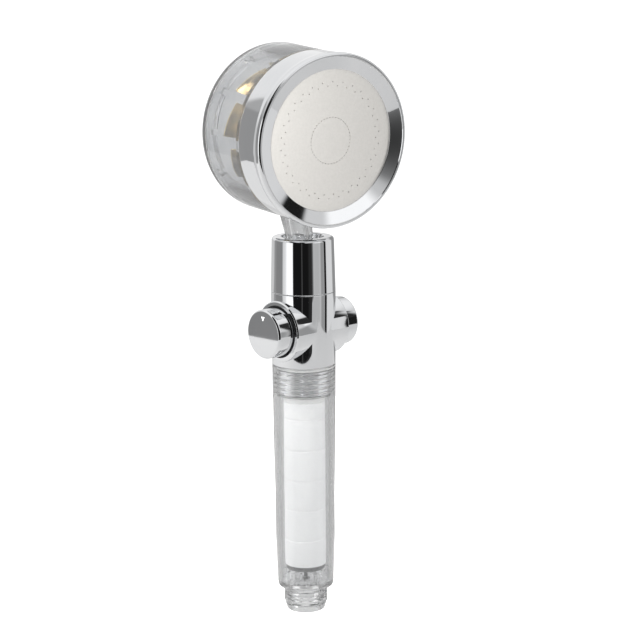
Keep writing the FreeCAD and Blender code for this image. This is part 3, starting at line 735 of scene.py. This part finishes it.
CARRIED = {
    "neck": "clear",
    "jet_ring": "clear",
    "filter_holder": "clear",
    "jet_disc": "clear",
    "impeller_axle": "steel",
    "thrust_washers": "steel",
    "impeller_bushes": "bronze",
    "filter_core": "white",
    "swivel_ring": "white",
    "spool": "white",
    "left_gland": "white",
    "right_gland": "white",
    "ball_seal": "rubber",
    "neck_seal": "rubber",
    "handle_seal": "white",
    "spool_seals": "rubber",
    "plate_gasket": "rubber",
    "shell_seal": "rubber",
}


def dress_carried_nodes():
    for node, material in CARRIED.items():
        for slot in NODES[node].material_slots:
            slot.material = MATERIALS[material]


# ---- studio ----------------------------------------------------------------------------------


class Sky:
    """The studio round the object, painted patch by patch on the world."""

    def __init__(self):
        world = bpy.data.worlds.new("studio")
        bpy.context.scene.world = world
        world.use_nodes = True
        self.tree = world.node_tree
        self.background = self.tree.nodes["Background"]
        way = self.tree.nodes.new("ShaderNodeTexCoord").outputs["Generated"]
        turn = self.tree.nodes.new("ShaderNodeVectorRotate")
        turn.rotation_type = "Z_AXIS"
        turn.inputs["Angle"].default_value = -CAMERA_BEARING
        self.tree.links.new(way, turn.inputs["Vector"])
        split = self.tree.nodes.new("ShaderNodeSeparateXYZ")
        self.tree.links.new(turn.outputs["Vector"], split.inputs[0])
        self.bearing = self.degrees("ARCTAN2", split.outputs["Y"], split.outputs["X"])
        self.height = self.degrees("ARCSINE", split.outputs["Z"])

    def maths(self, operation, first, second=None):
        node = self.tree.nodes.new("ShaderNodeMath")
        node.operation = operation
        for index, value in enumerate((first, second)):
            if value is None:
                continue
            if isinstance(value, (int, float)):
                node.inputs[index].default_value = value
            else:
                self.tree.links.new(value, node.inputs[index])
        return node.outputs[0]

    def degrees(self, operation, first, second=None):
        return self.maths("MULTIPLY", self.maths(operation, first, second), 180 / math.pi)

    def step(self, value, place, soft):
        node = self.tree.nodes.new("ShaderNodeMapRange")
        node.interpolation_type = "SMOOTHSTEP"
        node.inputs["From Min"].default_value = place - soft
        node.inputs["From Max"].default_value = place + soft
        self.tree.links.new(value, node.inputs["Value"])
        return node.outputs["Result"]

    def mix(self, share, first, second):
        node = self.tree.nodes.new("ShaderNodeMix")
        node.data_type = "RGBA"
        inputs = [node.inputs["Factor"]] + [s for s in node.inputs if s.type == "RGBA"]
        for socket, value in zip(inputs, (share, first, second)):
            if isinstance(value, (int, float)):
                socket.default_value = value
            elif isinstance(value, tuple):
                socket.default_value = (*value, 1)
            else:
                self.tree.links.new(value, socket)
        return next(s for s in node.outputs if s.type == "RGBA")

    def patch(self, under, left, right, low, high, soft, colour):
        """A soft-edged box of light or dark between two bearings and two heights."""
        inside = self.maths(
            "SUBTRACT", self.step(self.bearing, left, soft), self.step(self.bearing, right, soft)
        )
        level = self.maths(
            "SUBTRACT", self.step(self.height, low, soft), self.step(self.height, high, soft)
        )
        return self.mix(self.maths("MULTIPLY", inside, level), under, colour)


def grey(value):
    return (value, value, value)


CAMERA_PLACE = Vector((-0.52279, -0.57970, 0.30236))
CAMERA_YAW = 0.74384
CAMERA_PITCH = 0.20162
CAMERA_ROLL = -0.00724
CAMERA_LENS = 94.75
CAMERA_SENSOR = 36
CAMERA_BEARING = math.atan2(CAMERA_PLACE.y, CAMERA_PLACE.x)

# The studio as the chrome shows it. It is fixed in the room. Each card has a left, right, low and
# high edge in degrees, the softness of its edges, and its brightness. Bearings are counted from
# the side that the camera stands on, to the right as positive.
REFLECTED = [
    (-190, 190, -90, 90, 1, grey(0.80)),
    (-190, 190, 38, 95, 8, grey(1.08)),
    # Pale wall behind on the left, brighter above.
    (-190, -126, -40, 8, 5, grey(0.72)),
    (-190, -126, 8, 50, 5, grey(1.0)),
    # Grey card on the left.
    (-127, -79, -40, 26, 1.5, grey(0.5)),
    (-126, -79, -40, 17, 1.2, grey(0.37)),
    (-131, -120, -40, -11, 1.5, grey(0.37)),
    (-113, -79, -40, 10, 3, grey(0.29)),
    # Softbox on the left.
    (-72, -20, -40, 17, 10, grey(1.0)),
    (-62, -20, -40, 17, 5, grey(1.5)),
    # Dark gap round the camera.
    (-37, 37, -40, 20, 1.5, grey(0.010)),
    (-54, 8, 18, 44, 2, grey(0.012)),
    (-54, -12, 40, 58, 2, grey(0.02)),
    (-5, -2.5, -40, 20, 1.5, grey(0.10)),
    (20, 37, -40, 9, 4, grey(0.03)),
    # Grey and bright cards on the right, a black flag, then a pale and a grey wall behind.
    (37, 64, -40, 8, 7, grey(0.58)),
    (44, 70, 8, 22, 3, grey(1.3)),
    (66, 82, -40, 8, 4, grey(0.38)),
    (82, 92, -40, 34, 1.2, grey(0.015)),
    (82, 98, 12, 35, 2, grey(0.03)),
    (94, 127, -40, 30, 3, grey(0.88)),
    (130, 174, -40, 28, 4, grey(0.34)),
]
# A simpler studio, which only shows through the clear parts.
THROUGH = [
    (-190, 190, -90, 90, 1, grey(0.39)),
    (-190, -168, -50, 30, 6, grey(0.60)),
    (168, 190, -50, 30, 6, grey(0.60)),
    (-110, -55, -60, 40, 6, grey(1.05)),
    (60, 105, -60, 40, 6, grey(1.0)),
    (-190, 190, 36, 95, 8, grey(1.1)),
    (-190, 190, -95, -55, 8, grey(0.8)),
]

# Half of the table's extent towards the camera, half of it across, and the height of its top.
TABLE_DEPTH = 0.465
TABLE_WIDTH = 0.68
TABLE_HEIGHT = -0.012


def make_world():
    sky = Sky()
    reflected = grey(0.5)
    for left, right, low, high, soft, colour in REFLECTED:
        reflected = sky.patch(reflected, left, right, low, high, soft, colour)
    through = grey(0.5)
    for left, right, low, high, soft, colour in THROUGH:
        through = sky.patch(through, left, right, low, high, soft, colour)
    path = sky.tree.nodes.new("ShaderNodeLightPath")
    passed = sky.maths("GREATER_THAN", path.outputs["Transmission Depth"], 0.5)
    scattered = sky.maths("GREATER_THAN", path.outputs["Diffuse Depth"], 0.5)
    seen = sky.mix(passed, reflected, through)
    soft_light = sky.mix(sky.step(sky.height, 0, 70), grey(1.1), grey(1.5))
    seen = sky.mix(scattered, seen, soft_light)
    seen = sky.mix(path.outputs["Is Camera Ray"], seen, grey(1.2))
    sky.tree.links.new(seen, sky.background.inputs["Color"])


def make_floor():
    """A pale table just under the object, bright to the camera and clear from below."""
    bm = bmesh.new()
    bmesh.ops.create_grid(bm, x_segments=1, y_segments=1, size=1)
    bmesh.ops.scale(bm, vec=(TABLE_DEPTH, TABLE_WIDTH, 1), verts=bm.verts)
    floor = add_object("floor", mesh_from(bm, "floor"))
    floor.location.z = TABLE_HEIGHT
    floor.rotation_euler.z = CAMERA_BEARING
    paper = Shader("pale_paper").set(Roughness=0.9, Base_Color=(0.47, 0.47, 0.47, 1))
    paper.set(Emission_Color=(1, 1, 1, 1))
    tree = paper.tree
    path = tree.nodes.new("ShaderNodeLightPath")
    tree.links.new(path.outputs["Is Camera Ray"], paper.shader.inputs["Emission Strength"])
    paper.bump(paper.noise(300), 0.0001, 0.2)
    side = tree.nodes.new("ShaderNodeNewGeometry")
    clear = tree.nodes.new("ShaderNodeBsdfTransparent")
    mix = tree.nodes.new("ShaderNodeMixShader")
    tree.links.new(side.outputs["Backfacing"], mix.inputs["Fac"])
    tree.links.new(paper.shader.outputs["BSDF"], mix.inputs[1])
    tree.links.new(clear.outputs["BSDF"], mix.inputs[2])
    tree.links.new(mix.outputs["Shader"], tree.nodes["Material Output"].inputs["Surface"])
    floor.data.materials.append(paper.material)
    floor.visible_transmission = False


def make_light(name, place, target, size, power, colour):
    lamp = bpy.data.lights.new(name, "AREA")
    lamp.shape = "RECTANGLE"
    lamp.size, lamp.size_y = size
    lamp.energy = power
    lamp.color = colour
    thing = bpy.data.objects.new(name, lamp)
    thing.location = place
    thing.rotation_euler = (Vector(target) - Vector(place)).to_track_quat("-Z", "Y").to_euler()
    thing.visible_glossy = False
    thing.visible_camera = False
    bpy.context.scene.collection.objects.link(thing)


def make_camera():
    camera = bpy.data.cameras.new("camera")
    camera.lens = CAMERA_LENS
    camera.sensor_width = CAMERA_SENSOR
    camera.clip_start = 0.01
    camera.clip_end = 20
    thing = bpy.data.objects.new("camera", camera)
    thing.location = CAMERA_PLACE
    turn = Matrix.Rotation(-CAMERA_YAW, 4, "Z")
    tip = Matrix.Rotation(math.pi / 2 - CAMERA_PITCH, 4, "X")
    roll = Matrix.Rotation(CAMERA_ROLL, 4, "Z")
    thing.rotation_euler = (turn @ tip @ roll).to_euler()
    bpy.context.scene.collection.objects.link(thing)
    bpy.context.scene.camera = thing


make_handle()
make_filter()
make_valve()
make_button("left_push_button", LEFT_END, "left_button")
make_button("right_push_button", RIGHT_END, "right_button")
make_gap_shade_ring("left_gap_shade", LEFT_END)
make_gap_shade_ring("right_gap_shade", RIGHT_END)
make_pointer()
make_nut()
make_bezel()
make_spray_plate()
make_shell()
make_impeller()
dress_carried_nodes()
make_camera()
make_world()
make_floor()
make_light("key", (-0.62, 0.66, 0.88), (0, 0, 0.15), (0.3, 0.3), 9.0, (1.0, 0.99, 0.97))
make_light(
    "fill", (-0.115, -0.087, 0.253), (-0.004, -0.024, 0.229), (0.03, 0.03), 0.48, (1.0, 0.99, 0.96)
)
bpy.context.scene.view_settings.view_transform = "Standard"
